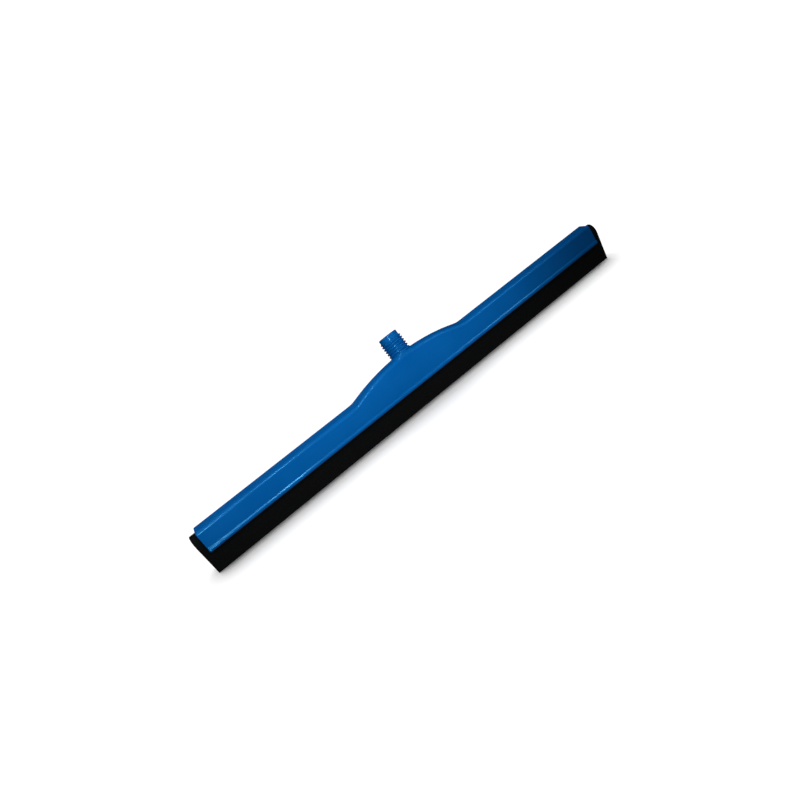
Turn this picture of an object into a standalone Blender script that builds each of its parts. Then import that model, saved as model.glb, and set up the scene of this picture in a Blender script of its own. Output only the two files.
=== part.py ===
"""Floor squeegee head, in metres, +Z up.

A moulded channel holds two cellular-rubber blades. A low arched hub at mid-length carries a threaded stub
for the handle, which leans back. A spreader bar between the blades wedges them against the channel's walls,
and eight screws draw it up against bosses under the channel's roof. X runs along the blades, -Y is the
working front, and the blades' tips are at Z = 0. The whole head is hung on one empty, which puts the origin
at the middle of its footprint.
"""

import math

import bmesh
import bpy
from mathutils import Matrix, Vector

# ---------------------------------------------------------------- driving dimensions
CLEARANCE = 0.0003            # gap that touching pieces keep

BLADE_LENGTH = 0.550
BLADE_THICKNESS = 0.0065
BLADE_SLOT = 0.0050           # gap between the two blades
BLADE_TOP_Z = 0.0424
BLADE_PINCH_Z = 0.0240        # above this the grip ribs and the channel squeeze the blade
BLADE_CORNER_RADIUS = 0.0030

HOLDER_LENGTH = 0.5350
LIP_Z = 0.0241                # lower edge of the holder
TOP_Z = 0.0474                # top of the straight wings
TOP_HALF_DEPTH = 0.0086       # middle plane to where top and side facets would meet
SIDE_SLOPE = 0.155            # how far a side facet comes out for each metre it drops
WALL = 0.0020
RIDGE_RADIUS = 0.0030
ROOF_CORNER_RADIUS = 0.0010
BEAD_RADIUS = 0.0021
BEAD_HALF_DEPTH = 0.0130      # middle plane to the outermost line of the lip bead
BEAD_END_ANGLE = 72           # where the bead runs into the side facet, from straight out
END_CHAMFER = 0.0008

GRIP_RIB_HEIGHTS = (0.0275, 0.0305)
GRIP_RIB_HALF_WIDTH = 0.0007
GRIP_RIB_DEPTH = 0.0007

ARCH_HALF_LENGTH = 0.0726
ARCH_RISE = 0.0128
ARCH_BLEND = 0.0018           # softens the crease where the arch leaves the wings
ARCH_REACH = 0.084            # beyond this the wings are straight
ARCH_STATIONS = 34

STUB_TILT = math.radians(21.5)
STUB_TIP_Y = 0.0132           # centre of the stub's end face, before the origin shift
STUB_TIP_Z = 0.0810
STUB_LENGTH = 0.0240          # end face to the top of the neck
STUB_ROOT_RADIUS = 0.0106
STUB_LEAD_LENGTH = 0.0042     # plain guide above the first turn
STUB_LEAD_RADIUS = 0.0109
STUB_LEAD_CHAMFER = 0.0009
THREAD_CREST_RADIUS = 0.0123
THREAD_PITCH = 0.0031
THREAD_TURNS = 6.20
THREAD_START = 0.0236         # end face to where the ridge begins
THREAD_START_ANGLE = math.pi  # the ridge begins on the -X side
THREAD_STEPS = 30             # facets around one turn
THREAD_BASE_WIDTH = 0.0027
THREAD_CREST_WIDTH = 0.0010
THREAD_FADE_TURNS = 0.30      # each end of the ridge runs out over this much of a turn
THREAD_END_SHARE = 0.07       # height that is left at its very ends
NECK_LENGTH = 0.0140          # smooth cone from the thread's foot down into the hub
NECK_TOP_RADIUS = 0.0112
NECK_FOOT_RADIUS = 0.0076
CORE_RADIUS = 0.0060          # blind core hole in the stub's end
CORE_DRAFT = 0.0004
CORE_DEPTH = 0.0230

SCREW_COUNT = 8
SCREW_PITCH = 0.070
SCREW_SHANK_RADIUS = 0.0009
SCREW_HEAD_RADIUS = 0.0021
SCREW_HEAD_HEIGHT = 0.0016
SCREW_TIP_Z = 0.0436
SCREW_POINT_LENGTH = 0.0018
SCREW_POINT_RADIUS = 0.0002
SCREW_HEAD_ANGLES = (75, 50, 25, 0)
RECESS_DEPTH = 0.0009
RECESS_ARM_LENGTH = 0.0022
RECESS_ARM_WIDTH = 0.0006

BAR_LENGTH = 0.5310
BAR_BOTTOM_Z = 0.0280
BAR_HEIGHT = 0.0060
BAR_CHAMFER = 0.0005

BOSS_RADIUS = 0.0022
HOLE_RADIUS = SCREW_SHANK_RADIUS + CLEARANCE
PILOT_TOP_Z = 0.0443

WEB_THICKNESS = 0.0018
WEB_FOOT_Z = 0.0430
WEB_POSITIONS = (-0.054, -0.020, 0.020, 0.054)
OVERLAP = 0.0008              # how deep joined shapes run into each other

BEAD_STEPS = 9                # facets along each rounded stretch
RIDGE_STEPS = 4
ROOF_CORNER_STEPS = 2
BLADE_CORNER_STEPS = 5
STUB_SEGMENTS = 40            # facets around each turned shape
CORE_SEGMENTS = 32
BOSS_SEGMENTS = 20
SCREW_SEGMENTS = 16

# ---------------------------------------------------------------- worked out from the above
SIDE_ANGLE = math.atan(SIDE_SLOPE)
BLADE_HALF_STACK = BLADE_SLOT / 2 + BLADE_THICKNESS
BAR_WIDTH = BLADE_SLOT - 2 * CLEARANCE
STUB_TIP = Vector((0.0, STUB_TIP_Y, STUB_TIP_Z))
STUB_BACK_Y = (STUB_TIP_Y - STUB_LEAD_CHAMFER * math.sin(STUB_TILT)
               + STUB_LEAD_RADIUS * math.cos(STUB_TILT))
ORIGIN_SHIFT_Y = -(STUB_BACK_Y - BEAD_HALF_DEPTH) / 2

BLUE = (0.002, 0.105, 0.365, 1.0)
BLACK = (0.012, 0.012, 0.013, 1.0)
GREY = (0.22, 0.23, 0.24, 1.0)
STEEL = (0.62, 0.63, 0.65, 1.0)


# ---------------------------------------------------------------- scene helpers
def clear_scene():
    for thing in list(bpy.data.objects):
        bpy.data.objects.remove(thing, do_unlink=True)


def make_material(name, colour, roughness, metallic=0.0):
    material = bpy.data.materials.new(name)
    material.use_nodes = True
    shader = material.node_tree.nodes["Principled BSDF"]
    shader.inputs["Base Color"].default_value = colour
    shader.inputs["Roughness"].default_value = roughness
    shader.inputs["Metallic"].default_value = metallic
    return material


def add_object(name, mesh, material=None, parent=None, smooth_angle=30):
    thing = bpy.data.objects.new(name, mesh)
    bpy.context.collection.objects.link(thing)
    thing.parent = parent
    if material is not None:
        mesh.materials.append(material)
    mesh.shade_smooth()
    mesh.set_sharp_from_angle(angle=math.radians(smooth_angle))
    return thing


def mesh_from_bmesh(name, bm):
    bmesh.ops.recalc_face_normals(bm, faces=bm.faces)
    mesh = bpy.data.meshes.new(name)
    bm.to_mesh(mesh)
    bm.free()
    return mesh


def loft(name, sections):
    """Closed skin through equal-length rings of points, capped at both ends."""
    bm = bmesh.new()
    rings = [[bm.verts.new(point) for point in section] for section in sections]
    for ring, following in zip(rings, rings[1:]):
        for i, corner in enumerate(ring):
            j = (i + 1) % len(ring)
            bm.faces.new((corner, ring[j], following[j], following[i]))
    bm.faces.new(rings[0])
    bm.faces.new(reversed(rings[-1]))
    return mesh_from_bmesh(name, bm)


def extrude_along_x(name, outline, x_start, x_end):
    """Prism from a closed outline of (y, z) points."""
    return loft(name, [[Vector((x, y, z)) for y, z in outline] for x in (x_start, x_end)])


def turned(name, profile, segments):
    """Solid of revolution about +Z from (radius, z) points, bottom to top."""
    sections = []
    for radius, z in profile:
        angles = (2 * math.pi * step / segments for step in range(segments))
        sections.append([Vector((radius * math.cos(a), radius * math.sin(a), z)) for a in angles])
    return loft(name, sections)


def boolean(target, tool, operation):
    """Joins or cuts a tool shape, which stays in the scene as a hidden guide."""
    tool.hide_render = True
    tool.display_type = "WIRE"
    modifier = target.modifiers.new(tool.name, "BOOLEAN")
    modifier.operation = operation
    modifier.solver = "EXACT"
    modifier.object = tool


def arc(centre_y, centre_z, radius, start_deg, end_deg, steps):
    """Points (y, z) along a circular arc, both ends included."""
    points = []
    for step in range(steps + 1):
        angle = math.radians(start_deg + (end_deg - start_deg) * step / steps)
        points.append((centre_y + radius * math.cos(angle), centre_z + radius * math.sin(angle)))
    return points


def mirrored(points):
    """The same points on the other side of the middle plane, in reverse order."""
    return [(-y, z) for y, z in reversed(points)]


# ---------------------------------------------------------------- holder
def arch_rise(x):
    """Height of the hub's circular arch above the wings, eased into them."""
    if abs(x) > ARCH_REACH:
        return 0.0
    radius = (ARCH_HALF_LENGTH ** 2 + ARCH_RISE ** 2) / (2 * ARCH_RISE)
    arc_height = ARCH_RISE - radius + math.sqrt(radius ** 2 - x ** 2)
    overlap = max(ARCH_BLEND - abs(arc_height), 0.0)
    return max(arc_height, 0.0) + overlap ** 2 / (4 * ARCH_BLEND)


def side_y(z, inset=0.0):
    """Half depth of the holder's side facet at height z, moved inwards by inset."""
    return TOP_HALF_DEPTH + SIDE_SLOPE * (TOP_Z - z) - inset / math.cos(SIDE_ANGLE)


def corner_arc(top_z, inset, radius, steps):
    """Rounded corner between a side facet and the flat top or roof at top_z, side first."""
    turn = math.degrees(SIDE_ANGLE)
    tangent = radius * math.tan(math.radians(90 - turn) / 2)
    return arc(side_y(top_z, inset) - tangent, top_z - radius, radius, turn, 90, steps)


def grip_ribs():
    """Barbed ribs on a side wall's inner face, bottom to top."""
    points = []
    for z in GRIP_RIB_HEIGHTS:
        points.append((side_y(z - GRIP_RIB_HALF_WIDTH, WALL), z - GRIP_RIB_HALF_WIDTH))
        points.append((side_y(z, WALL) - GRIP_RIB_DEPTH, z))
        points.append((side_y(z + GRIP_RIB_HALF_WIDTH, WALL), z + GRIP_RIB_HALF_WIDTH))
    return points


def holder_outline(rise, inset):
    """Closed (y, z) outline of the channel; inset shrinks its outside at the chamfered ends."""
    bead_centre_y = BEAD_HALF_DEPTH - BEAD_RADIUS
    bead_centre_z = LIP_Z + BEAD_RADIUS
    outside = arc(bead_centre_y, bead_centre_z, BEAD_RADIUS - inset, -90, BEAD_END_ANGLE, BEAD_STEPS)
    outside += corner_arc(TOP_Z + rise - inset, inset, RIDGE_RADIUS, RIDGE_STEPS)
    inside = [(side_y(LIP_Z, WALL), LIP_Z + inset)]
    inside += grip_ribs()
    inside += corner_arc(TOP_Z + rise - WALL, WALL, ROOF_CORNER_RADIUS, ROOF_CORNER_STEPS)
    return outside + mirrored(outside) + [(-y, z) for y, z in inside] + list(reversed(inside))


def holder_sections():
    half = HOLDER_LENGTH / 2
    stations = [(-half, END_CHAMFER), (-half + END_CHAMFER, 0.0)]
    for step in range(ARCH_STATIONS + 1):
        stations.append((ARCH_REACH * (2 * step / ARCH_STATIONS - 1), 0.0))
    stations += [(half - END_CHAMFER, 0.0), (half, END_CHAMFER)]
    sections = []
    for x, inset in stations:
        sections.append([Vector((x, y, z)) for y, z in holder_outline(arch_rise(x), inset)])
    return sections


def stub_matrix():
    """Places a shape built about +Z, with its end face at z = 0, on the leaning stub."""
    return Matrix.Translation(STUB_TIP) @ Matrix.Rotation(-STUB_TILT, 4, "X")


def stub_mesh():
    """Plain body of the stub and the neck cone that runs down into the hub."""
    profile = [
        (NECK_FOOT_RADIUS, -STUB_LENGTH - NECK_LENGTH),
        (NECK_TOP_RADIUS, -STUB_LENGTH),
        (STUB_ROOT_RADIUS, -STUB_LENGTH + OVERLAP),
        (STUB_ROOT_RADIUS, -STUB_LEAD_LENGTH),
        (STUB_LEAD_RADIUS, -STUB_LEAD_LENGTH + OVERLAP),
        (STUB_LEAD_RADIUS, -STUB_LEAD_CHAMFER),
        (STUB_LEAD_RADIUS - STUB_LEAD_CHAMFER, 0.0),
    ]
    return turned("stub_body", profile, STUB_SEGMENTS)


def thread_mesh():
    """Right-handed helical ridge that fades out at both ends."""
    count = round(THREAD_TURNS * THREAD_STEPS)
    root = STUB_ROOT_RADIUS - OVERLAP / 2
    half_base = THREAD_BASE_WIDTH / 2
    half_crest = THREAD_CREST_WIDTH / 2
    sections = []
    for step in range(count + 1):
        turn = step / THREAD_STEPS
        from_end = min(turn, THREAD_TURNS - turn)
        height = min(1.0, THREAD_END_SHARE + from_end / THREAD_FADE_TURNS)
        crest = root + (THREAD_CREST_RADIUS - root) * height
        z = turn * THREAD_PITCH - THREAD_START
        angle = THREAD_START_ANGLE + 2 * math.pi * turn
        lower_flank = ((root, z - half_base), (crest, z - half_crest))
        upper_flank = ((crest, z + half_crest), (root, z + half_base))
        corners = lower_flank + upper_flank
        sections.append([Vector((r * math.cos(angle), r * math.sin(angle), h)) for r, h in corners])
    return loft("stub_thread", sections)


def core_mesh():
    """Tapered core hole that opens through the stub's end face."""
    profile = [(CORE_RADIUS - CORE_DRAFT, -CORE_DEPTH), (CORE_RADIUS, OVERLAP)]
    return turned("stub_core", profile, CORE_SEGMENTS)


def web_mesh(x):
    """Cross web under the arch, shaped to the channel and run into its walls."""
    top_z = TOP_Z + arch_rise(x) - WALL + OVERLAP
    right = [(side_y(z, WALL) + OVERLAP, z) for z in (WEB_FOOT_Z, top_z)]
    return extrude_along_x("web", right + mirrored(right), x - WEB_THICKNESS / 2, x + WEB_THICKNESS / 2)


def screw_positions():
    middle = (SCREW_COUNT - 1) / 2
    return [(number - middle) * SCREW_PITCH for number in range(SCREW_COUNT)]


def boss_mesh(x):
    """Round boss that hangs from the roof down to the spreader bar."""
    foot_z = BAR_BOTTOM_Z + BAR_HEIGHT + CLEARANCE
    top_z = TOP_Z + arch_rise(x) - WALL + OVERLAP
    return turned("boss", [(BOSS_RADIUS, foot_z), (BOSS_RADIUS, top_z)], BOSS_SEGMENTS)


def pilot_mesh():
    return turned("pilot", [(HOLE_RADIUS, BAR_BOTTOM_Z), (HOLE_RADIUS, PILOT_TOP_Z)], SCREW_SEGMENTS)


def build_holder(head, material):
    holder = add_object("holder", loft("holder", holder_sections()), material, head)
    for mesh, operation in ((stub_mesh(), "UNION"), (thread_mesh(), "UNION"), (core_mesh(), "DIFFERENCE")):
        tool = add_object(mesh.name, mesh, parent=head)
        tool.matrix_local = stub_matrix()
        boolean(holder, tool, operation)
    for x in WEB_POSITIONS:
        boolean(holder, add_object("web", web_mesh(x), parent=head), "UNION")
    for x in screw_positions():
        boss = add_object("boss", boss_mesh(x), parent=head)
        boss.location.x = x
        boolean(holder, boss, "UNION")
    for x in screw_positions():
        pilot = add_object("pilot", pilot_mesh(), parent=head)
        pilot.location.x = x
        boolean(holder, pilot, "DIFFERENCE")
    return holder


# ---------------------------------------------------------------- blades
def blade_outline():
    """Closed (y, z) outline of the rear blade, whose outside is squeezed in by ribs and channel."""
    inner_y = BLADE_SLOT / 2
    corner = BLADE_CORNER_RADIUS
    squeeze = WALL + CLEARANCE
    top_y = side_y(BLADE_TOP_Z, squeeze)
    wall_turn = math.degrees(SIDE_ANGLE)
    outline = [(inner_y, 0.0), (BLADE_HALF_STACK, 0.0), (BLADE_HALF_STACK, BLADE_PINCH_Z)]
    outline += [(side_y(z, squeeze) - GRIP_RIB_DEPTH, z) for z in GRIP_RIB_HEIGHTS]
    outline += arc(top_y - corner, BLADE_TOP_Z - corner, corner, wall_turn, 90, BLADE_CORNER_STEPS)
    outline.append((inner_y, BLADE_TOP_Z))
    return outline


def build_blades(head, material):
    half = BLADE_LENGTH / 2
    rear_outline = blade_outline()
    for name, outline in (("front_blade", mirrored(rear_outline)), ("rear_blade", rear_outline)):
        add_object(name, extrude_along_x(name, outline, -half, half), material, head)


# ---------------------------------------------------------------- spreader bar and screws
def bar_outline():
    half = BAR_WIDTH / 2
    top = BAR_BOTTOM_Z + BAR_HEIGHT
    right = [
        (half - BAR_CHAMFER, BAR_BOTTOM_Z),
        (half, BAR_BOTTOM_Z + BAR_CHAMFER),
        (half, top - BAR_CHAMFER),
        (half - BAR_CHAMFER, top),
    ]
    return right + mirrored(right)


def build_spreader_bar(head, material):
    half = BAR_LENGTH / 2
    mesh = extrude_along_x("spreader_bar", bar_outline(), -half, half)
    bar = add_object("spreader_bar", mesh, material, head)
    profile = [(HOLE_RADIUS, BAR_BOTTOM_Z - OVERLAP), (HOLE_RADIUS, BAR_BOTTOM_Z + BAR_HEIGHT + OVERLAP)]
    for x in screw_positions():
        hole = add_object("bar_hole", turned("bar_hole", profile, SCREW_SEGMENTS), parent=head)
        hole.location.x = x
        boolean(bar, hole, "DIFFERENCE")


def screw_mesh():
    """Pan-head self-tapping screw, head down, origin at the head's bearing face."""
    length = SCREW_TIP_Z - (BAR_BOTTOM_Z - CLEARANCE)
    angles = [math.radians(angle) for angle in SCREW_HEAD_ANGLES]
    profile = [(SCREW_HEAD_RADIUS * math.cos(a), -SCREW_HEAD_HEIGHT * math.sin(a)) for a in angles]
    profile += [
        (SCREW_SHANK_RADIUS, 0.0),
        (SCREW_SHANK_RADIUS, length - SCREW_POINT_LENGTH),
        (SCREW_POINT_RADIUS, length),
    ]
    return turned("screw", profile, SCREW_SEGMENTS)


def recess_mesh():
    """Cross-shaped driver recess, cut up into the head from below."""
    half_long = RECESS_ARM_LENGTH / 2
    half_wide = RECESS_ARM_WIDTH / 2
    outline = [
        (half_long, half_wide), (half_wide, half_wide), (half_wide, half_long), (-half_wide, half_long),
        (-half_wide, half_wide), (-half_long, half_wide), (-half_long, -half_wide), (-half_wide, -half_wide),
        (-half_wide, -half_long), (half_wide, -half_long), (half_wide, -half_wide), (half_long, -half_wide),
    ]
    levels = (-SCREW_HEAD_HEIGHT - OVERLAP, -SCREW_HEAD_HEIGHT + RECESS_DEPTH)
    return loft("recess", [[Vector((x, y, z)) for x, y in outline] for z in levels])


def build_screws(head, material):
    mesh = screw_mesh()
    for number, x in enumerate(screw_positions(), start=1):
        screw = add_object(f"screw_{number}", mesh, None if number > 1 else material, head)
        screw.location = (x, 0.0, BAR_BOTTOM_Z - CLEARANCE)
        recess = add_object("recess", recess_mesh(), parent=screw)
        boolean(screw, recess, "DIFFERENCE")


# ---------------------------------------------------------------- the assembly
def build():
    clear_scene()
    head = bpy.data.objects.new("squeegee_head", None)
    bpy.context.collection.objects.link(head)
    head.location.y = ORIGIN_SHIFT_Y
    build_holder(head, make_material("blue_polypropylene", BLUE, 0.35))
    build_blades(head, make_material("black_cellular_rubber", BLACK, 0.90))
    build_spreader_bar(head, make_material("grey_polypropylene", GREY, 0.50))
    build_screws(head, make_material("zinc_plated_steel", STEEL, 0.35, 1.0))


build()
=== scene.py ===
"""Looks of the floor squeegee head, in metres: the moulded holder with its stub, and two foam blades.

The holder is one smooth body, taken from a distance field that repeats the CAD's driving dimensions and adds
the fillets, rounded edges and moulded radii of the real part. The foam blades are lofted strips that swell
where the holder no longer squeezes them. The spreader bar and the screws keep their CAD shapes and get
finished materials.
"""

import math

import bpy
import numpy as np
from mathutils import Matrix, Vector


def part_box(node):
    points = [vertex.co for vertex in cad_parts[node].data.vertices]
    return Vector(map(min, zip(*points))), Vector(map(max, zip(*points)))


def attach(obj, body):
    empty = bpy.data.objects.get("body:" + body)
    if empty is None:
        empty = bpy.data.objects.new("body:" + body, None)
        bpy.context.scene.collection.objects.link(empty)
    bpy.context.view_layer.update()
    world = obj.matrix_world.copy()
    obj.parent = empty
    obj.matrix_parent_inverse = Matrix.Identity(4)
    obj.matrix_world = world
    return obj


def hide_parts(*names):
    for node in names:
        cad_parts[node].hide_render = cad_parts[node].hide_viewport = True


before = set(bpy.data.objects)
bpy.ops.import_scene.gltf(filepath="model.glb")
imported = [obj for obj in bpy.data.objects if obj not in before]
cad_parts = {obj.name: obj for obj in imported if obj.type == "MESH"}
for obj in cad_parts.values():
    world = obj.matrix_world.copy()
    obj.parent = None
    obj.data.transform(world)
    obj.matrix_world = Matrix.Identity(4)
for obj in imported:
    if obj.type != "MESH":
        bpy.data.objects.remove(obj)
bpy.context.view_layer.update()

# ---------------------------------------------------------------- places read from the CAD parts in model.glb
HOLDER_LOW, HOLDER_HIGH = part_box("holder")
FRONT_LOW, FRONT_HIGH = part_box("front_blade")
REAR_LOW, REAR_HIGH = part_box("rear_blade")
BAR_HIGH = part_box("spreader_bar")[1]
SCREW_NODES = sorted(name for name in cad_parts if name.startswith("screw"))
SCREW_BOXES = [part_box(name) for name in SCREW_NODES]
SCREW_XS = [(low.x + high.x) / 2 for low, high in SCREW_BOXES]

MIDDLE_Y = (FRONT_LOW.y + REAR_HIGH.y) / 2      # the middle plane between the two blades
HALF_LENGTH = HOLDER_HIGH.x
LIP_Z = HOLDER_LOW.z
BLADE_HALF_LENGTH = FRONT_HIGH.x
BLADE_INNER = REAR_LOW.y - MIDDLE_Y
BLADE_OUTER = REAR_HIGH.y - MIDDLE_Y
BLADE_TOP_Z = REAR_HIGH.z
BEAD_HALF_DEPTH = MIDDLE_Y - HOLDER_LOW.y

# ---------------------------------------------------------------- the holder's driving dimensions
TOP_Z = 0.0474                # top of the straight wings
TOP_HALF_DEPTH = 0.0086       # middle plane to where top and side facets would meet
SIDE_SLOPE = 0.155            # how far a side facet comes out for each metre it drops
WALL = 0.0020
CLEARANCE = 0.0003            # gap that touching pieces keep
RIDGE_RADIUS = 0.0030
ROOF_CORNER_RADIUS = 0.0010
BEAD_RADIUS = 0.0021
BEAD_BLEND = 0.0009           # softens the crease between the bead and the side facet
END_ROUND = 0.0008
EDGE_ROUND = 0.0004           # on the thin edges and in the inner corners
GRIP_RIB_HEIGHTS = (0.0275, 0.0305)
GRIP_RIB_HALF_WIDTH = 0.0007
GRIP_RIB_DEPTH = 0.0007

ARCH_HALF_LENGTH = 0.0726
ARCH_RISE = 0.0128
ARCH_BLEND = 0.0018
ARCH_RADIUS = (ARCH_HALF_LENGTH ** 2 + ARCH_RISE ** 2) / (2 * ARCH_RISE)
ARCH_REACH = 0.084

STUB_TILT = math.radians(21.5)
STUB_TIP_Y = 0.0132           # from the middle plane
STUB_TIP_Z = 0.0810
STUB_LENGTH = 0.0240
STUB_ROOT_RADIUS = 0.0106
STUB_LEAD_LENGTH = 0.0042
STUB_LEAD_RADIUS = 0.0109
STUB_LEAD_ROUND = 0.0009
THREAD_CREST_RADIUS = 0.0123
THREAD_PITCH = 0.0031
THREAD_TURNS = 6.20
THREAD_START = 0.0236
THREAD_START_ANGLE = math.pi
THREAD_BASE_WIDTH = 0.0027
THREAD_CREST_WIDTH = 0.0010
THREAD_FADE_TURNS = 0.30
THREAD_STEEPNESS = 0.7        # keeps the threaded field's slope near one
NECK_LENGTH = 0.0140
NECK_TOP_RADIUS = 0.0112
NECK_FOOT_RADIUS = 0.0076
NECK_FILLET = 0.0036
FILLET_FADE_TOP = 0.0262      # on the front the fillet thins out between these depths below the end face
FILLET_FADE_FOOT = 0.0380
FILLET_FADE_SHARE = 0.96      # of the fillet's radius is gone at its foot in front
CORE_RADIUS = 0.0060
CORE_DRAFT = 0.0004
CORE_DEPTH = 0.0230

BOSS_RADIUS = 0.0022
BOSS_FOOT_Z = BAR_HIGH.z + CLEARANCE
PILOT_RADIUS = 0.0012
PILOT_TOP_Z = 0.0443
WEB_HALF_THICKNESS = 0.0009
WEB_FOOT_Z = 0.0430
WEB_POSITIONS = (-0.054, -0.020, 0.020, 0.054)

SIDE_COS = math.cos(math.atan(SIDE_SLOPE))

# ---------------------------------------------------------------- sampling of the holder's field
GRID_ROOM = 0.0008            # empty room kept round the body in the sampling grid
STEP_X_FINE = 0.00042         # round the stub and at the holder's ends
STEP_X_BOSS = 0.0008
STEP_X_FOOT = 0.0014          # where the arch leaves the wings
STEP_X_HUB = 0.0030
STEP_X_WING = 0.0100
ROOM_STUB = 0.0015            # how far each closely sampled stretch reaches past its feature
ROOM_BOSS = 0.0006
ROOM_WEB = 0.0007
ROOM_FOOT = 0.0040
ROOM_SLOT = 0.0020
STEP_Y_WALL = 0.00048
STEP_Y_INNER = 0.00068
STEP_Z_BEAD = 0.00047         # bead and grip ribs
STEP_Z_SIDE = 0.0022          # plain side facets
STEP_Z_TOP = 0.00044
SAME = 1e-9                   # lengths closer than this count as equal
SETTLE_ROUNDS = 4
SETTLE_REACH = 0.0003


# ---------------------------------------------------------------- distance-field tools
def round_max(a, b, radius):
    """Overlap of two fields with a rounded outer edge."""
    corner = np.hypot(np.maximum(a + radius, 0.0), np.maximum(b + radius, 0.0))
    return np.minimum(np.maximum(a, b), -radius) + corner


def round_min(a, b, radius):
    """Union of two fields with a fillet in the inner corner."""
    return -round_max(-a, -b, radius)


def ease(share):
    """Smooth step from 0 to 1."""
    return share * share * (3.0 - 2.0 * share)


def smooth_min(a, b, width):
    """Union of two fields, blended where they come within width of each other."""
    mix = np.maximum(width - np.abs(a - b), 0.0)
    return np.minimum(a, b) - mix ** 2 / (4 * width)


# ---------------------------------------------------------------- the holder as a field
def arch_rise(x):
    """Height of the hub's circular arch above the wings, eased into them."""
    near = np.clip(x, -ARCH_REACH, ARCH_REACH)
    height = ARCH_RISE - ARCH_RADIUS + np.sqrt(ARCH_RADIUS ** 2 - near ** 2)
    overlap = np.maximum(ARCH_BLEND - np.abs(height), 0.0)
    return np.maximum(height, 0.0) + overlap ** 2 / (4 * ARCH_BLEND)


def grip_ribs(z):
    """How far the two barbed ribs stand out of the inner wall at height z."""
    depth = 0.0 * z
    for height in GRIP_RIB_HEIGHTS:
        depth = np.maximum(depth, GRIP_RIB_DEPTH * (1.0 - np.abs(z - height) / GRIP_RIB_HALF_WIDTH))
    return depth


def stub_coordinates(x, y, z):
    """Distance along the stub's axis, zero at its end face, and distance behind that axis."""
    back = y - STUB_TIP_Y
    up = z - STUB_TIP_Z
    along = back * math.sin(STUB_TILT) + up * math.cos(STUB_TILT)
    across = back * math.cos(STUB_TILT) - up * math.sin(STUB_TILT)
    return along + 0.0 * x, across


def thread_height(along, angle):
    """Height of the right-handed thread above the stub's root."""
    phase = np.mod((angle - THREAD_START_ANGLE) / (2 * math.pi), 1.0)
    turn = np.round((along + THREAD_START) / THREAD_PITCH - phase) + phase
    offset = np.abs(along + THREAD_START - turn * THREAD_PITCH)
    flank = (THREAD_BASE_WIDTH / 2 - offset) / ((THREAD_BASE_WIDTH - THREAD_CREST_WIDTH) / 2)
    fade = np.clip(np.minimum(turn, THREAD_TURNS - turn) / THREAD_FADE_TURNS, 0.0, 1.0)
    flank = np.clip(flank, 0.0, 1.0)
    rounded = 0.5 * (flank + ease(flank))
    return (THREAD_CREST_RADIUS - STUB_ROOT_RADIUS) * rounded * fade


def neck_field(along, radius):
    """Plain stub and the cone below it that runs into the hub."""
    foot = -STUB_LENGTH - NECK_LENGTH
    heights = (foot, -STUB_LENGTH, -STUB_LENGTH + 2 * EDGE_ROUND, -STUB_LEAD_LENGTH, 0.0)
    radii = (NECK_FOOT_RADIUS, NECK_TOP_RADIUS, STUB_ROOT_RADIUS, STUB_ROOT_RADIUS, STUB_LEAD_RADIUS)
    body = round_max(radius - np.interp(along, heights, radii), along, STUB_LEAD_ROUND)
    return np.maximum(body, foot - along)


def fillet_radius(along, across):
    """Radius of the fillet round the neck: full behind and beside it, running out down the front facet."""
    depth = np.clip((-along - FILLET_FADE_TOP) / (FILLET_FADE_FOOT - FILLET_FADE_TOP), 0.0, 1.0)
    front = np.clip(-across / NECK_FOOT_RADIUS, 0.0, 1.0)
    return NECK_FILLET * (1.0 - FILLET_FADE_SHARE * ease(depth) * ease(front))


def holder_field(x, y, z):
    """Near-distance to the holder's surface, negative inside the plastic; y is from the middle plane."""
    side = (np.abs(y) - TOP_HALF_DEPTH - SIDE_SLOPE * (TOP_Z - z)) * SIDE_COS
    top = z - TOP_Z - arch_rise(x)
    bead = np.hypot(np.abs(y) - BEAD_HALF_DEPTH + BEAD_RADIUS, z - LIP_Z - BEAD_RADIUS) - BEAD_RADIUS
    outside = smooth_min(round_max(side, top, RIDGE_RADIUS), bead, BEAD_BLEND)
    outside = round_max(outside, LIP_Z - z, EDGE_ROUND)
    outside = round_max(outside, np.abs(x) - HALF_LENGTH, END_ROUND)
    cavity = round_max(side + WALL + grip_ribs(z), top + WALL, ROOF_CORNER_RADIUS)
    along, across = stub_coordinates(x, y, z)
    radius = np.hypot(x, across)
    neck = neck_field(along, radius)
    joined = round_min(outside, neck, fillet_radius(along, across))
    body = round_max(joined, -cavity, EDGE_ROUND)
    body = smooth_min(body, neck, EDGE_ROUND)
    for position in WEB_POSITIONS:
        web = np.maximum(np.abs(x - position) - WEB_HALF_THICKNESS, WEB_FOOT_Z - z)
        body = smooth_min(body, np.maximum(web, outside), EDGE_ROUND)
    for position in SCREW_XS:
        reach = np.hypot(x - position, y)
        boss = round_max(reach - BOSS_RADIUS, BOSS_FOOT_Z - z, EDGE_ROUND / 2)
        body = smooth_min(body, np.maximum(boss, outside), EDGE_ROUND)
        pilot = round_max(reach - PILOT_RADIUS, z - PILOT_TOP_Z, EDGE_ROUND / 2)
        body = np.maximum(body, -pilot)
    ridge = (radius - STUB_ROOT_RADIUS - thread_height(along, np.arctan2(across, x))) * THREAD_STEEPNESS
    ridge = np.maximum(ridge, np.maximum(along + STUB_LEAD_LENGTH / 2, -STUB_LENGTH - THREAD_PITCH - along))
    body = smooth_min(body, ridge, EDGE_ROUND)
    bore = radius - CORE_RADIUS - CORE_DRAFT * along / CORE_DEPTH
    bore = round_max(bore, -CORE_DEPTH - along, 2 * EDGE_ROUND)
    return round_max(body, -bore, EDGE_ROUND)


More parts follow.
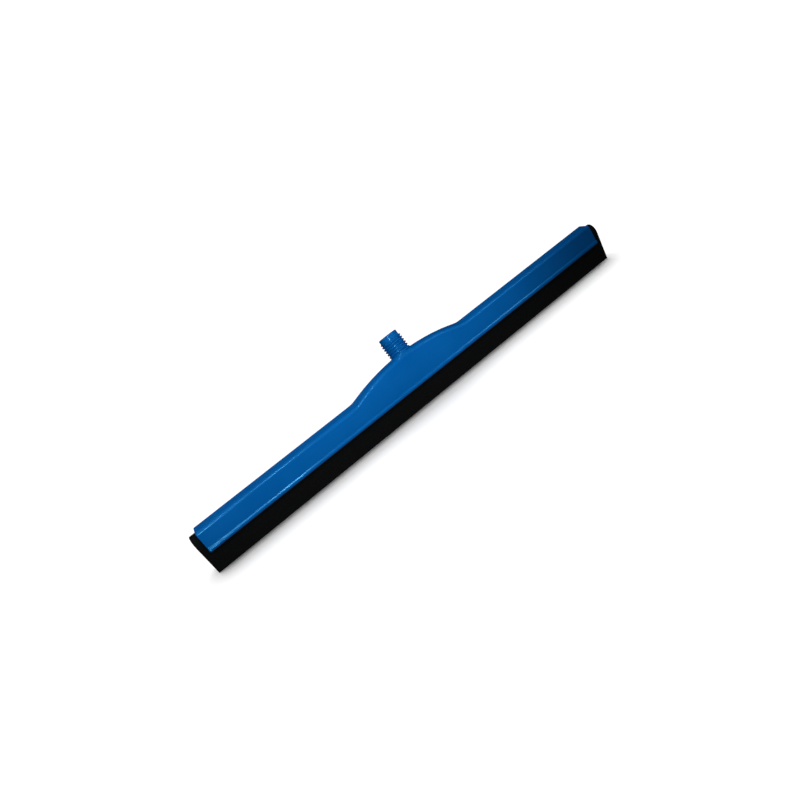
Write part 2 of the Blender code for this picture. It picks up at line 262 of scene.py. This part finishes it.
# ---------------------------------------------------------------- from a field to a mesh
def stations(bounds_and_steps):
    """Sorted coordinates from (start, end, step) stretches that follow each other."""
    values = [bounds_and_steps[0][0]]
    for start, end, step in bounds_and_steps:
        count = max(1, round((end - start) / step))
        values += [start + (end - start) * number / count for number in range(1, count + 1)]
    return np.array(values)


def surface_net(field, axes):
    """Vertices and outward quads of a sampled field's zero level, one vertex in each cell it crosses."""
    inside = field < 0.0
    cells = tuple(count - 1 for count in field.shape)
    total = int(np.prod(cells))
    sums = np.zeros((3, total))
    hits = np.zeros(total)
    quads = []
    for axis in range(3):
        after = np.roll(inside, -1, axis)
        flips = inside != after
        last = [slice(None)] * 3
        last[axis] = -1
        flips[tuple(last)] = False
        low = np.argwhere(flips)
        high = low.copy()
        high[:, axis] += 1
        value_low = field[tuple(low.T)]
        value_high = field[tuple(high.T)]
        share = value_low / (value_low - value_high)
        points = np.stack([axes[k][low[:, k]] for k in range(3)], 1)
        points[:, axis] += share * (axes[axis][high[:, axis]] - axes[axis][low[:, axis]])
        ring = []
        for back_one, back_two in ((1, 1), (0, 1), (0, 0), (1, 0)):
            cell = low.copy()
            cell[:, (axis + 1) % 3] -= back_one
            cell[:, (axis + 2) % 3] -= back_two
            number = np.ravel_multi_index(cell.T, cells)
            ring.append(number)
            hits += np.bincount(number, minlength=total)
            for k in range(3):
                sums[k] += np.bincount(number, points[:, k], minlength=total)
        ring = np.stack(ring, 1)
        inward = value_low > value_high
        ring[inward] = ring[inward][:, ::-1]
        quads.append(ring)
    used = hits > 0
    order = np.cumsum(used) - 1
    return (sums[:, used] / hits[used]).T, order[np.concatenate(quads)]


def gradient(field_of, points, step=1e-5):
    """Slope of a field at each point, by central differences."""
    slopes = []
    for axis in range(3):
        shift = np.zeros(3)
        shift[axis] = step
        slopes.append((field_of(*(points + shift).T) - field_of(*(points - shift).T)) / (2 * step))
    return np.stack(slopes, 1)


def settle(field_of, points, rounds, reach):
    """Moves points along the field's slope onto its zero level, each by at most reach a round."""
    for _ in range(rounds):
        slope = gradient(field_of, points)
        steep = np.maximum((slope ** 2).sum(1), 0.1)
        move = -(field_of(*points.T) / steep)[:, None] * slope
        length = np.linalg.norm(move, axis=1)
        points = points + move * np.minimum(1.0, reach / np.maximum(length, 1e-12))[:, None]
    return points


def new_piece(name, points, faces, material):
    mesh = bpy.data.meshes.new(name)
    mesh.from_pydata(points.tolist(), [], faces.tolist() if hasattr(faces, "tolist") else faces)
    mesh.materials.append(material)
    piece = bpy.data.objects.new(name, mesh)
    bpy.context.scene.collection.objects.link(piece)
    return piece


def holder_axes():
    """Sampling planes: close together round the stub, bosses, webs and bead, far apart along the wings."""
    boss_room = BOSS_RADIUS + ROOM_BOSS
    web_room = WEB_HALF_THICKNESS + ROOM_WEB
    spans = [(0.0, THREAD_CREST_RADIUS + ROOM_STUB, STEP_X_FINE)]
    spans += [(x - web_room, x + web_room, STEP_X_BOSS) for x in WEB_POSITIONS if x > 0]
    spans += [(x - boss_room, x + boss_room, STEP_X_BOSS) for x in SCREW_XS if x > 0]
    spans.append((ARCH_HALF_LENGTH - ROOM_FOOT, ARCH_HALF_LENGTH + ROOM_FOOT, STEP_X_FOOT))
    spans.append((HALF_LENGTH - 2 * END_ROUND, HALF_LENGTH + GRID_ROOM, STEP_X_FINE))
    half = []
    cursor = 0.0
    for start, stop, step in sorted(spans):
        if start > cursor + SAME:
            turn = min(max(ARCH_REACH, cursor), start)
            if turn > cursor + SAME:
                half.append((cursor, turn, STEP_X_HUB))
            if start > turn + SAME:
                half.append((turn, start, STEP_X_WING))
        half.append((start, stop, step))
        cursor = stop
    positive = stations(half)
    xs = np.concatenate([-positive[:0:-1], positive])
    front = BEAD_HALF_DEPTH + GRID_ROOM
    back = STUB_TIP_Y + THREAD_CREST_RADIUS
    inner = BLADE_INNER + ROOM_SLOT
    ys = stations([(-front, -inner, STEP_Y_WALL), (-inner, inner, STEP_Y_INNER), (inner, back, STEP_Y_WALL)])
    ribs_top = GRIP_RIB_HEIGHTS[-1] + 2 * GRIP_RIB_HALF_WIDTH
    zs = stations([(LIP_Z - GRID_ROOM, ribs_top, STEP_Z_BEAD), (ribs_top, WEB_FOOT_Z, STEP_Z_SIDE),
                   (WEB_FOOT_Z, HOLDER_HIGH.z + GRID_ROOM, STEP_Z_TOP)])
    return xs, ys, zs


def build_holder(material):
    xs, ys, zs = holder_axes()
    field = holder_field(xs[:, None, None], ys[None, :, None], zs[None, None, :])
    points, quads = surface_net(field, (xs, ys, zs))
    points = settle(holder_field, points, SETTLE_ROUNDS, SETTLE_REACH)
    normals = gradient(holder_field, points)
    normals /= np.maximum(np.linalg.norm(normals, axis=1), 1e-9)[:, None]
    points[:, 1] += MIDDLE_Y
    piece = new_piece("holder_moulding", points, quads, material)
    piece.data.shade_smooth()
    piece.data.normals_split_custom_set_from_vertices(normals.tolist())
    return piece


# ---------------------------------------------------------------- foam blades
FOAM_EDGE_ROUND = 0.0005
FOAM_END_ROUND = 0.0004
FOAM_INNER_ROUND = 0.0005
SQUEEZED_TOP_ROUND = 0.0030
DOME_FOOT_Z = 0.0335          # above this the free ends of the two blades lean together under one rounded top
DOME_TOP_Z = 0.0449
SLOT_ROUND_FOOT_Z = 0.0320    # the slot between them closes in a round of its own
SLOT_TOP_Z = 0.0375
SWELL_LENGTH = 0.0018         # how far past the holder a free end takes to reach its full shape
FOAM_SIDE_ROWS = 44
FOAM_ROUND_STEPS = 5
FOAM_DOME_STEPS = 18
FOAM_RING_PITCH = 0.02        # along the stretch that the holder grips
FOAM_END_RINGS = 12           # along each free end
FOAM_SHARP_DEG = 50           # edges turning more than this stay crisp


def arc(centre, radii, start_deg, end_deg, steps=FOAM_ROUND_STEPS):
    """Points (y, z) along part of an ellipse, both ends included."""
    angles = np.radians(np.linspace(start_deg, end_deg, steps + 1))
    return np.stack([centre[0] + radii[0] * np.cos(angles), centre[1] + radii[1] * np.sin(angles)], 1)


def squeezed_side(z):
    """Outer face of the rear blade where the channel's wall and grip ribs press on it."""
    wall = TOP_HALF_DEPTH + SIDE_SLOPE * (TOP_Z - z) - (WALL + CLEARANCE) / SIDE_COS
    return np.minimum(BLADE_OUTER, wall - grip_ribs(z))


def foam_foot():
    """Lower edges of the rear blade's outline, from its inner face round to its outer one."""
    edge = (FOAM_EDGE_ROUND, FOAM_EDGE_ROUND)
    return np.concatenate([
        arc((BLADE_INNER + FOAM_EDGE_ROUND, FOAM_EDGE_ROUND), edge, 180, 270),
        arc((BLADE_OUTER - FOAM_EDGE_ROUND, FOAM_EDGE_ROUND), edge, 270, 360),
    ])


def squeezed_outline():
    """Closed (y, z) outline of the rear blade in the holder's grip."""
    heights = np.linspace(2 * FOAM_EDGE_ROUND, BLADE_TOP_Z - SQUEEZED_TOP_ROUND, FOAM_SIDE_ROWS)
    side = squeezed_side(heights)
    top = (side[-1] - SQUEEZED_TOP_ROUND, BLADE_TOP_Z - SQUEEZED_TOP_ROUND)
    inner_top_z = BLADE_TOP_Z - FOAM_INNER_ROUND
    inner_heights = np.linspace(inner_top_z, SLOT_ROUND_FOOT_Z, FOAM_DOME_STEPS + 2)[1:]
    return np.concatenate([
        foam_foot(),
        np.stack([side, heights], 1),
        arc(top, (SQUEEZED_TOP_ROUND, SQUEEZED_TOP_ROUND), 12, 90, FOAM_DOME_STEPS),
        arc((BLADE_INNER + FOAM_INNER_ROUND, inner_top_z), (FOAM_INNER_ROUND, FOAM_INNER_ROUND), 90, 180),
        np.stack([np.full(len(inner_heights), BLADE_INNER), inner_heights], 1),
    ])


def free_outline():
    """Closed (y, z) outline of the rear blade's free end, point for point like the squeezed one."""
    heights = np.linspace(2 * FOAM_EDGE_ROUND, DOME_FOOT_Z, FOAM_SIDE_ROWS)
    dome = (BLADE_OUTER, DOME_TOP_Z - DOME_FOOT_Z)
    meeting = CLEARANCE / 2
    crown = meeting + FOAM_INNER_ROUND
    crown_deg = math.degrees(math.acos(crown / BLADE_OUTER))
    crown_z = DOME_FOOT_Z + dome[1] * math.sin(math.radians(crown_deg))
    slot = (BLADE_INNER, SLOT_TOP_Z - SLOT_ROUND_FOOT_Z)
    slot_deg = math.degrees(math.acos(meeting / BLADE_INNER))
    return np.concatenate([
        foam_foot(),
        np.stack([np.full(FOAM_SIDE_ROWS, BLADE_OUTER), heights], 1),
        arc((0.0, DOME_FOOT_Z), dome, 1, crown_deg, FOAM_DOME_STEPS),
        arc((crown, crown_z - FOAM_INNER_ROUND), (FOAM_INNER_ROUND, FOAM_INNER_ROUND), 90, 180),
        arc((0.0, SLOT_ROUND_FOOT_Z), slot, slot_deg, 0, FOAM_DOME_STEPS),
    ])


def shrunk(outline, inset):
    """The outline moved inwards by inset, along its own normals."""
    run = np.roll(outline, -1, 0) - np.roll(outline, 1, 0)
    run /= np.linalg.norm(run, axis=1)[:, None]
    return outline + inset * np.stack([-run[:, 1], run[:, 0]], 1)


def foam_rings():
    """Outline and place of each ring along the rear blade, from its left end to its right end."""
    right = [(0.0, 0.0)]
    grip = np.arange(FOAM_RING_PITCH, HALF_LENGTH - FOAM_RING_PITCH / 2, FOAM_RING_PITCH)
    free_end = np.linspace(HALF_LENGTH, BLADE_HALF_LENGTH - FOAM_END_ROUND, FOAM_END_RINGS)
    right += [(x, 0.0) for x in grip]
    right += [(x, 0.0) for x in free_end]
    for angle in np.radians(np.linspace(0, 90, FOAM_ROUND_STEPS))[1:]:
        x = BLADE_HALF_LENGTH - FOAM_END_ROUND * (1.0 - math.sin(angle))
        right.append((x, FOAM_END_ROUND * (1.0 - math.cos(angle))))
    left = [(-x, inset) for x, inset in reversed(right[1:])]
    squeezed = squeezed_outline()
    free = free_outline()
    rings = []
    for x, inset in left + right:
        freedom = ease(np.clip((abs(x) - HALF_LENGTH) / SWELL_LENGTH, 0.0, 1.0))
        outline = shrunk(squeezed + (free - squeezed) * freedom, inset)
        rings.append(np.column_stack([np.full(len(outline), x), outline]))
    return rings


def build_blade(name, side, material):
    """One foam strip; side is 1 for the rear blade and -1 for the front one."""
    rings = foam_rings()
    size = len(rings[0])
    points = np.concatenate(rings)
    points[:, 1] = MIDDLE_Y + side * points[:, 1]
    faces = [list(range(size)), [len(points) - 1 - i for i in range(size)]]
    for start in range(0, len(points) - size, size):
        for i in range(size):
            j = (i + 1) % size
            faces.append([start + i, start + size + i, start + size + j, start + j])
    if side > 0:
        faces = [face[::-1] for face in faces]
    piece = new_piece(name, points, faces, material)
    piece.data.shade_smooth()
    piece.data.set_sharp_from_angle(angle=math.radians(FOAM_SHARP_DEG))
    return piece


# ---------------------------------------------------------------- materials
class Shader:
    """A new material's node tree, with short calls for the nodes that the finishes share."""

    def __init__(self, name, metallic=0.0, specular=0.5):
        self.material = bpy.data.materials.new(name)
        self.material.use_nodes = True
        self.tree = self.material.node_tree
        self.surface = self.tree.nodes["Principled BSDF"]
        self.surface.inputs["Metallic"].default_value = metallic
        self.surface.inputs["Specular IOR Level"].default_value = specular
        self.place = self.tree.nodes.new("ShaderNodeTexCoord").outputs["Object"]

    def stretched(self, scale):
        mapping = self.tree.nodes.new("ShaderNodeMapping")
        mapping.inputs["Scale"].default_value = scale
        self.tree.links.new(self.place, mapping.inputs["Vector"])
        return mapping.outputs["Vector"]

    def noise(self, scale, detail, place=None):
        texture = self.tree.nodes.new("ShaderNodeTexNoise")
        texture.inputs["Scale"].default_value = scale
        texture.inputs["Detail"].default_value = detail
        self.tree.links.new(place or self.place, texture.inputs["Vector"])
        return texture.outputs["Fac"]

    def cells(self, scale):
        texture = self.tree.nodes.new("ShaderNodeTexVoronoi")
        texture.inputs["Scale"].default_value = scale
        self.tree.links.new(self.place, texture.inputs["Vector"])
        return texture.outputs["Distance"]

    def remap(self, value, low, high, to_low, to_high):
        change = self.tree.nodes.new("ShaderNodeMapRange")
        for socket, number in zip(("From Min", "From Max", "To Min", "To Max"), (low, high, to_low, to_high)):
            change.inputs[socket].default_value = number
        self.tree.links.new(value, change.inputs["Value"])
        return change.outputs["Result"]

    def total(self, first, second):
        add = self.tree.nodes.new("ShaderNodeMath")
        self.tree.links.new(first, add.inputs[0])
        self.tree.links.new(second, add.inputs[1])
        return add.outputs["Value"]

    def colour(self, share, low, high):
        mix = self.tree.nodes.new("ShaderNodeMix")
        mix.data_type = "RGBA"
        mix.inputs["A"].default_value = (*low, 1.0)
        mix.inputs["B"].default_value = (*high, 1.0)
        self.tree.links.new(share, mix.inputs["Factor"])
        self.tree.links.new(mix.outputs["Result"], self.surface.inputs["Base Color"])

    def roughness(self, value):
        self.tree.links.new(value, self.surface.inputs["Roughness"])

    def bump(self, height, distance, strength=1.0, under=None):
        relief = self.tree.nodes.new("ShaderNodeBump")
        relief.inputs["Distance"].default_value = distance
        relief.inputs["Strength"].default_value = strength
        self.tree.links.new(height, relief.inputs["Height"])
        if under is not None:
            self.tree.links.new(under, relief.inputs["Normal"])
        self.tree.links.new(relief.outputs["Normal"], self.surface.inputs["Normal"])
        return relief.outputs["Normal"]


def blue_polypropylene():
    """Semi-gloss moulded plastic: faint clouds in colour and gloss, slight waviness, fine scratches."""
    shader = Shader("blue_polypropylene_moulded")
    clouds = shader.remap(shader.noise(22.0, 2.0), 0.35, 0.65, 0.0, 1.0)
    shader.colour(clouds, (0.0012, 0.097, 0.348), (0.0020, 0.107, 0.376))
    gloss = shader.remap(shader.noise(130.0, 4.0), 0.30, 0.70, 0.12, 0.18)
    hairlines = shader.noise(1.0, 2.0, shader.stretched((9.0, 620.0, 620.0)))
    shader.roughness(shader.total(gloss, shader.remap(hairlines, 0.64, 0.72, 0.0, 0.04)))
    shader.surface.inputs["Specular Tint"].default_value = (0.15, 0.65, 1.0, 1.0)
    waves = shader.bump(shader.noise(48.0, 1.0), 0.00010)
    shader.bump(shader.noise(2600.0, 2.0), 0.000006, under=waves)
    return shader.material


def black_foam():
    """Cellular rubber: open pores of about 1 mm cut through on every face, with painted shade inside them."""
    shader = Shader("black_cellular_rubber", specular=0.18)
    pores = shader.cells(1150.0)
    speckle = shader.noise(900.0, 3.0)
    # painted shade: depth follows the low parts of the pore relief, and the colour below darkens there to
    # stand in for shade inside the pores
    depth = shader.remap(pores, 0.15, 0.60, 0.0, 1.0)
    shader.colour(depth, (0.0056, 0.0060, 0.0064), (0.0024, 0.0027, 0.0029))
    shader.roughness(shader.remap(speckle, 0.3, 0.7, 0.78, 0.96))
    skin = shader.bump(shader.noise(260.0, 3.0), 0.00018)
    shader.bump(shader.remap(pores, 0.0, 0.55, 1.0, 0.0), 0.00022, under=skin)
    return shader.material


def grey_polypropylene():
    """Matt moulded bar with a fine spark-eroded texture."""
    shader = Shader("grey_polypropylene_matt", specular=0.35)
    shader.colour(shader.noise(60.0, 3.0), (0.185, 0.195, 0.205), (0.245, 0.255, 0.265))
    shader.roughness(shader.remap(shader.noise(400.0, 3.0), 0.3, 0.7, 0.45, 0.62))
    shader.bump(shader.noise(3200.0, 2.0), 0.000015)
    return shader.material


def zinc_steel():
    """Zinc-plated screw steel with cloudy plating and fine turning marks."""
    shader = Shader("zinc_plated_steel_screw", metallic=1.0)
    shader.colour(shader.noise(700.0, 3.0), (0.50, 0.51, 0.52), (0.68, 0.69, 0.70))
    shader.roughness(shader.remap(shader.noise(1500.0, 3.0), 0.3, 0.7, 0.24, 0.44))
    shader.bump(shader.noise(1.0, 1.0, shader.stretched((500.0, 500.0, 9000.0))), 0.000010)
    return shader.material


def finish_node(node, material):
    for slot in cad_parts[node].material_slots:
        slot.material = material


# ---------------------------------------------------------------- camera, light and floor
CAMERA_PLACE = Vector((-0.1686, -0.5395 + MIDDLE_Y, 0.2729))
CAMERA_AZIMUTH = math.radians(-14.516)
CAMERA_ELEVATION = math.radians(24.435)
CAMERA_ROLL = math.radians(32.526)
CAMERA_LENS = 26.01

FLOOR_HALF_SIZE = 4.0
FLOOR_Z = -0.0001
FOCUS_Z = 0.040               # height that the lamps aim at
AMBIENT = 0.12                # what the world adds to every surface
BACKDROP = 1.20               # how bright it shows behind the floor

OVERHEAD_ELEVATION = math.radians(73)
OVERHEAD = (0.0, math.cos(OVERHEAD_ELEVATION), math.sin(OVERHEAD_ELEVATION))
FLOOR_SUNS = (                # name, direction to it, strength, angle in degrees
    ("softbox_overhead", OVERHEAD, 3.4, 54),
    ("floor_fill", (0.0, -0.6, 0.8), 0.35, 90),
)
STRIP_DISTANCE = 1.5
STRIPS = (                    # name, direction from the holder, power, level length and width
    ("strip_left", (-0.265, -0.515, 0.855), 1.4, (0.27, 0.10)),
    ("strip_arch", (-0.115, -0.530, 0.850), 2.6, (0.09, 0.08)),
    ("strip_right", (0.53, -0.46, 0.78), 1.6, (0.56, 0.08)),
    ("strip_stub", (-0.335, -0.87, 0.38), 2.8, (0.07, 0.20)),
)
KEY_X = -0.075                # the key lamp stands left of the middle, close in front
KEY_PLACE_YZ = (-0.105, 0.105)
KEY_TARGET_Z = 0.035
KEY_POWER = 0.310
KEY_SIZE = (0.485, 0.05)
TOP_FILL_BACK = 0.05          # behind the middle plane
TOP_FILL_Z = 1.2
TOP_FILL_POWER = 4.8
TOP_FILL_SIZE = (0.8, 0.8)
BOUNCE_PLACE = (-0.02, -0.0855, -0.1075)     # light thrown up from the floor onto the lip
BOUNCE_TARGET = (-0.02, -0.018, 0.026)
BOUNCE_POWER = 0.06
BOUNCE_SIZE = (0.46, 0.05)
BEHIND_DISTANCE = 1.1
BEHIND_DIRECTION = (-0.25, 0.80, 0.55)
BEHIND_POWER = 2.0
BEHIND_SIZE = (0.6, 0.6)


def build_camera():
    data = bpy.data.cameras.new("camera")
    data.sensor_width = 36.0
    data.lens = CAMERA_LENS
    camera = bpy.data.objects.new("camera", data)
    bpy.context.scene.collection.objects.link(camera)
    turn = Matrix.Rotation(CAMERA_AZIMUTH, 4, "Z") @ Matrix.Rotation(math.pi / 2 - CAMERA_ELEVATION, 4, "X")
    camera.matrix_world = Matrix.Translation(CAMERA_PLACE) @ turn @ Matrix.Rotation(-CAMERA_ROLL, 4, "Z")
    bpy.context.scene.camera = camera


def build_floor():
    """White floor that catches the shadow; it lights nothing and shows in no reflection."""
    half = FLOOR_HALF_SIZE
    corners = [(-half, -half, FLOOR_Z), (half, -half, FLOOR_Z), (half, half, FLOOR_Z), (-half, half, FLOOR_Z)]
    shader = Shader("floor_white_matt", specular=0.0)
    shader.colour(shader.noise(3.0, 2.0), (0.90, 0.90, 0.90), (0.92, 0.92, 0.92))
    shader.surface.inputs["Roughness"].default_value = 0.9
    floor = new_piece("floor", np.array(corners), [(0, 1, 2, 3)], shader.material)
    floor.visible_glossy = False
    floor.visible_diffuse = False
    return floor


def build_world():
    """Even soft light from all round, which the camera sees as a white backdrop."""
    world = bpy.data.worlds.new("studio")
    bpy.context.scene.world = world
    world.use_nodes = True
    world.cycles_visibility.glossy = False
    tree = world.node_tree
    seen = tree.nodes.new("ShaderNodeLightPath").outputs["Is Camera Ray"]
    strength = tree.nodes.new("ShaderNodeMapRange")
    strength.inputs["To Min"].default_value = AMBIENT
    strength.inputs["To Max"].default_value = BACKDROP
    tree.links.new(seen, strength.inputs["Value"])
    tree.nodes["Background"].inputs["Color"].default_value = (1.0, 1.0, 1.0, 1.0)
    tree.links.new(strength.outputs["Result"], tree.nodes["Background"].inputs["Strength"])


def add_lamp(name, kind, place, target, power, size, floor, on_floor=False, glossy=True, diffuse=True):
    """A lamp aimed from place to target; it lights the floor alone, or everything but the floor.

    A sun's size is its angle; an area lamp's is its level length and its width.
    """
    data = bpy.data.lights.new(name, kind)
    data.energy = power
    if kind == "SUN":
        data.angle = size
    else:
        data.shape = "RECTANGLE"
        data.size, data.size_y = size
    lamp = bpy.data.objects.new(name, data)
    bpy.context.scene.collection.objects.link(lamp)
    aim = (Vector(target) - Vector(place)).to_track_quat("-Z", "Y").to_matrix().to_4x4()
    lamp.matrix_world = Matrix.Translation(place) @ aim
    lamp.visible_glossy = glossy
    lamp.visible_diffuse = diffuse
    lamp.visible_camera = False
    lit = bpy.data.collections.new(name + "_receivers")
    lit.objects.link(floor)
    lit.collection_objects[0].light_linking.link_state = "INCLUDE" if on_floor else "EXCLUDE"
    lamp.light_linking.receiver_collection = lit
    if not on_floor:
        lamp.light_linking.blocker_collection = lit


def build_lamps(floor):
    """Suns for the floor alone; for the object, fills without reflections and strips that only reflect."""
    middle = Vector((0.0, MIDDLE_Y, FOCUS_Z))
    for name, direction, power, degrees in FLOOR_SUNS:
        add_lamp(name, "SUN", direction, (0, 0, 0), power, math.radians(degrees), floor, on_floor=True)
    key_place = (KEY_X, *KEY_PLACE_YZ)
    key_target = (KEY_X, MIDDLE_Y, KEY_TARGET_Z)
    add_lamp("key_front", "AREA", key_place, key_target, KEY_POWER, KEY_SIZE, floor, glossy=False)
    top_place = (0.0, MIDDLE_Y + TOP_FILL_BACK, TOP_FILL_Z)
    add_lamp("top_fill", "AREA", top_place, middle, TOP_FILL_POWER, TOP_FILL_SIZE, floor, glossy=False)
    for name, direction, power, size in STRIPS:
        place = middle + STRIP_DISTANCE * Vector(direction)
        add_lamp(name, "AREA", place, middle, power, size, floor, diffuse=False)
    add_lamp("low_bounce", "AREA", BOUNCE_PLACE, BOUNCE_TARGET, BOUNCE_POWER, BOUNCE_SIZE, floor,
             glossy=False)
    behind = middle + BEHIND_DISTANCE * Vector(BEHIND_DIRECTION)
    add_lamp("fill_behind", "AREA", behind, middle, BEHIND_POWER, BEHIND_SIZE, floor, glossy=False)


# ---------------------------------------------------------------- the pieces
holder = build_holder(blue_polypropylene())
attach(holder, "root")
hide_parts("holder")

foam = black_foam()
for name, side in (("front_blade", -1), ("rear_blade", 1)):
    blade = build_blade(f"{name}_foam", side, foam)
    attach(blade, "root")
    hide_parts(name)

finish_node("spreader_bar", grey_polypropylene())
steel = zinc_steel()
for name in SCREW_NODES:
    finish_node(name, steel)

build_camera()
build_world()
build_lamps(build_floor())
bpy.context.scene.view_settings.view_transform = "Standard"
